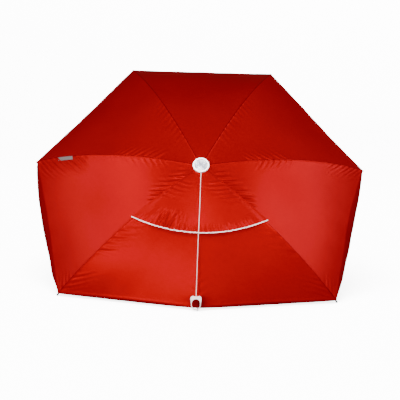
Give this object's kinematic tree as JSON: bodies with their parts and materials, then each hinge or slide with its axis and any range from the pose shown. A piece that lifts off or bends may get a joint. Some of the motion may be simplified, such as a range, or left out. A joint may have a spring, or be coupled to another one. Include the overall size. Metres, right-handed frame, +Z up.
{
  "type": "golf umbrella",
  "caption": "Open umbrella resting on its rim: arched ribs, coupled stretchers and runner, vented cloth canopy, crown cap, pull cord with finger ring and straight foam handle.",
  "frame": {"origin": "bottom centre of the bounding box, on the floor that the two side rib tips, the short rib's tip and the handle's end stand on", "axes": "+X across the canopy, along its widest extent; +Y from the canopy's open face side towards the handle's end, away from the cap; +Z up"},
  "size_m": [1.3802, 0.875, 0.8502],
  "materials": {
    "cloth": "matte",
    "binding": "matte",
    "cord": "matte",
    "tape": "matte",
    "fibreglass": "satin",
    "shaft": "gloss",
    "black_plastic": "satin",
    "white_plastic": "satin",
    "pearl": "satin",
    "lens": "polished",
    "tip_metal": "satin",
    "wire": "satin",
    "foam": "matte"
  },
  "bodies": {
    "shaft": {"shaft_tube": "shaft", "runner_stop_pin": "wire", "top_notch": "black_plastic", "notch_wire": "wire", "cap_base": "white_plastic", "cap_screw": "wire", "cap_pearl_disc": "pearl", "cap_lens": "lens", "handle_collar": "black_plastic", "handle_grip": "foam", "handle_end_cap": "black_plastic"},
    "rib_1": {"rib_1": "fibreglass", "rib_clip_1": "black_plastic", "rib_tip_1": "tip_metal", "canopy_panel_1": "cloth", "vent_flap_middle": "cloth", "vent_binding_middle": "binding", "pull_cord": "cord"},
    "stretcher_1": {"stretcher_1": "fibreglass"},
    "rib_2": {"rib_2": "fibreglass", "rib_clip_2": "black_plastic", "rib_tip_2": "tip_metal", "canopy_panel_2": "cloth", "vent_flap_right": "cloth", "vent_binding_right": "binding"},
    "stretcher_2": {"stretcher_2": "fibreglass"},
    "rib_3": {"rib_3": "fibreglass", "rib_clip_3": "black_plastic", "rib_tip_3": "tip_metal", "canopy_panel_3": "cloth"},
    "stretcher_3": {"stretcher_3": "fibreglass"},
    "rib_4": {"rib_4": "fibreglass", "rib_clip_4": "black_plastic", "rib_tip_4": "tip_metal", "canopy_panel_4": "cloth"},
    "stretcher_4": {"stretcher_4": "fibreglass"},
    "rib_5": {"rib_5": "fibreglass", "rib_clip_5": "black_plastic", "rib_tip_5": "tip_metal", "canopy_panel_5": "cloth"},
    "stretcher_5": {"stretcher_5": "fibreglass"},
    "rib_6": {"rib_6": "fibreglass", "rib_clip_6": "black_plastic", "rib_tip_6": "tip_metal", "canopy_panel_6": "cloth", "woven_label": "tape"},
    "stretcher_6": {"stretcher_6": "fibreglass"},
    "rib_7": {"rib_7": "fibreglass", "rib_clip_7": "black_plastic", "rib_tip_7": "tip_metal", "canopy_panel_7": "cloth", "vent_flap_left": "cloth", "vent_binding_left": "binding"},
    "stretcher_7": {"stretcher_7": "fibreglass"},
    "runner": {"runner_sleeve": "black_plastic", "runner_wire": "wire"},
    "top_catch": {"top_catch": "wire"},
    "bottom_catch": {"bottom_catch": "wire"},
    "pull_ring": {"pull_ring": "white_plastic"}
  },
  "joints": [
    {"name": "canopy_fold", "type": "hinge", "parent": "shaft", "child": "rib_4", "pos_m": [0.00607, -0.21214, 0.53027], "axis": [-0.901, 0.2688, 0.3406], "range_deg": [0, 66], "deforming": ["canopy_panel_4"]},
    {"name": "rib_1_hinge", "type": "hinge", "parent": "shaft", "child": "rib_1", "pos_m": [0, -0.22863, 0.50938], "axis": [1, 0, 0], "range_deg": [0, 66], "deforming": ["canopy_panel_1", "vent_flap_middle", "vent_binding_middle", "pull_cord"]},
    {"name": "rib_2_hinge", "type": "hinge", "parent": "shaft", "child": "rib_2", "pos_m": [0.01095, -0.22536, 0.51352], "axis": [0.6235, 0.4844, 0.6137], "range_deg": [0, 66], "deforming": ["canopy_panel_2", "vent_flap_right", "vent_binding_right"]},
    {"name": "rib_3_hinge", "type": "hinge", "parent": "shaft", "child": "rib_3", "pos_m": [0.01365, -0.21802, 0.52281], "axis": [-0.2225, 0.604, 0.7653], "range_deg": [0, 66], "deforming": ["canopy_panel_3"]},
    {"name": "rib_5_hinge", "type": "hinge", "parent": "shaft", "child": "rib_5", "pos_m": [-0.00607, -0.21214, 0.53027], "axis": [-0.901, -0.2688, -0.3406], "range_deg": [0, 66], "deforming": ["canopy_panel_5"]},
    {"name": "rib_6_hinge", "type": "hinge", "parent": "shaft", "child": "rib_6", "pos_m": [-0.01365, -0.21802, 0.52281], "axis": [-0.2225, -0.604, -0.7653], "range_deg": [0, 66], "deforming": ["canopy_panel_6"]},
    {"name": "rib_7_hinge", "type": "hinge", "parent": "shaft", "child": "rib_7", "pos_m": [-0.01095, -0.22536, 0.51352], "axis": [0.6235, -0.4844, -0.6137], "range_deg": [0, 66], "deforming": ["canopy_panel_7", "vent_flap_left", "vent_binding_left"]},
    {"name": "stretcher_1_hinge", "type": "hinge", "parent": "rib_1", "child": "stretcher_1", "pos_m": [0, -0.37487, 0.20727], "axis": [1, 0, 0], "range_deg": [-132, 0]},
    {"name": "stretcher_2_hinge", "type": "hinge", "parent": "rib_2", "child": "stretcher_2", "pos_m": [0.26719, -0.29515, 0.30827], "axis": [0.6235, 0.4844, 0.6137], "range_deg": [-132, 0]},
    {"name": "stretcher_3_hinge", "type": "hinge", "parent": "rib_3", "child": "stretcher_3", "pos_m": [0.33318, -0.11602, 0.53521], "axis": [-0.2225, 0.604, 0.7653], "range_deg": [-132, 0]},
    {"name": "stretcher_4_hinge", "type": "hinge", "parent": "rib_4", "child": "stretcher_4", "pos_m": [0.14828, 0.02763, 0.71721], "axis": [-0.901, 0.2688, 0.3406], "range_deg": [-132, 0]},
    {"name": "stretcher_5_hinge", "type": "hinge", "parent": "rib_5", "child": "stretcher_5", "pos_m": [-0.14828, 0.02763, 0.71721], "axis": [-0.901, -0.2688, -0.3406], "range_deg": [-132, 0]},
    {"name": "stretcher_6_hinge", "type": "hinge", "parent": "rib_6", "child": "stretcher_6", "pos_m": [-0.33318, -0.11602, 0.53521], "axis": [-0.2225, -0.604, -0.7653], "range_deg": [-132, 0]},
    {"name": "stretcher_7_hinge", "type": "hinge", "parent": "rib_7", "child": "stretcher_7", "pos_m": [-0.26719, -0.29515, 0.30827], "axis": [0.6235, -0.4844, -0.6137], "range_deg": [-132, 0]},
    {"name": "runner_pivot", "type": "hinge", "parent": "stretcher_4", "child": "runner", "pos_m": [0.00607, -0.09851, 0.44058], "axis": [-0.901, 0.2688, 0.3406], "range_deg": [0, 66]},
    {"name": "top_catch_press", "type": "slide", "parent": "shaft", "child": "top_catch", "axis": [0, 0.6196, 0.7849], "range_m": [-0.003, 0], "stiffness_N_per_m": 300, "springref_m": 0.001},
    {"name": "bottom_catch_press", "type": "slide", "parent": "shaft", "child": "bottom_catch", "axis": [0, 0.6196, 0.7849], "range_m": [-0.003, 0], "stiffness_N_per_m": 300, "springref_m": 0.001},
    {"name": "ring_lift", "type": "hinge", "parent": "rib_1", "child": "pull_ring", "pos_m": [-0.0066, -0.42994, 0.05803], "axis": [-1, 0, 0], "range_deg": [0, 100]}
  ],
  "couplings": [
    {"joint": "rib_1_hinge", "follows": "canopy_fold", "ratio": 1},
    {"joint": "rib_2_hinge", "follows": "canopy_fold", "ratio": 1},
    {"joint": "rib_3_hinge", "follows": "canopy_fold", "ratio": 1},
    {"joint": "rib_5_hinge", "follows": "canopy_fold", "ratio": 1},
    {"joint": "rib_6_hinge", "follows": "canopy_fold", "ratio": 1},
    {"joint": "rib_7_hinge", "follows": "canopy_fold", "ratio": 1},
    {"joint": "stretcher_1_hinge", "follows": "canopy_fold", "ratio": -2},
    {"joint": "stretcher_2_hinge", "follows": "canopy_fold", "ratio": -2},
    {"joint": "stretcher_3_hinge", "follows": "canopy_fold", "ratio": -2},
    {"joint": "stretcher_4_hinge", "follows": "canopy_fold", "ratio": -2},
    {"joint": "stretcher_5_hinge", "follows": "canopy_fold", "ratio": -2},
    {"joint": "stretcher_6_hinge", "follows": "canopy_fold", "ratio": -2},
    {"joint": "stretcher_7_hinge", "follows": "canopy_fold", "ratio": -2},
    {"joint": "runner_pivot", "follows": "canopy_fold", "ratio": 1}
  ]
}
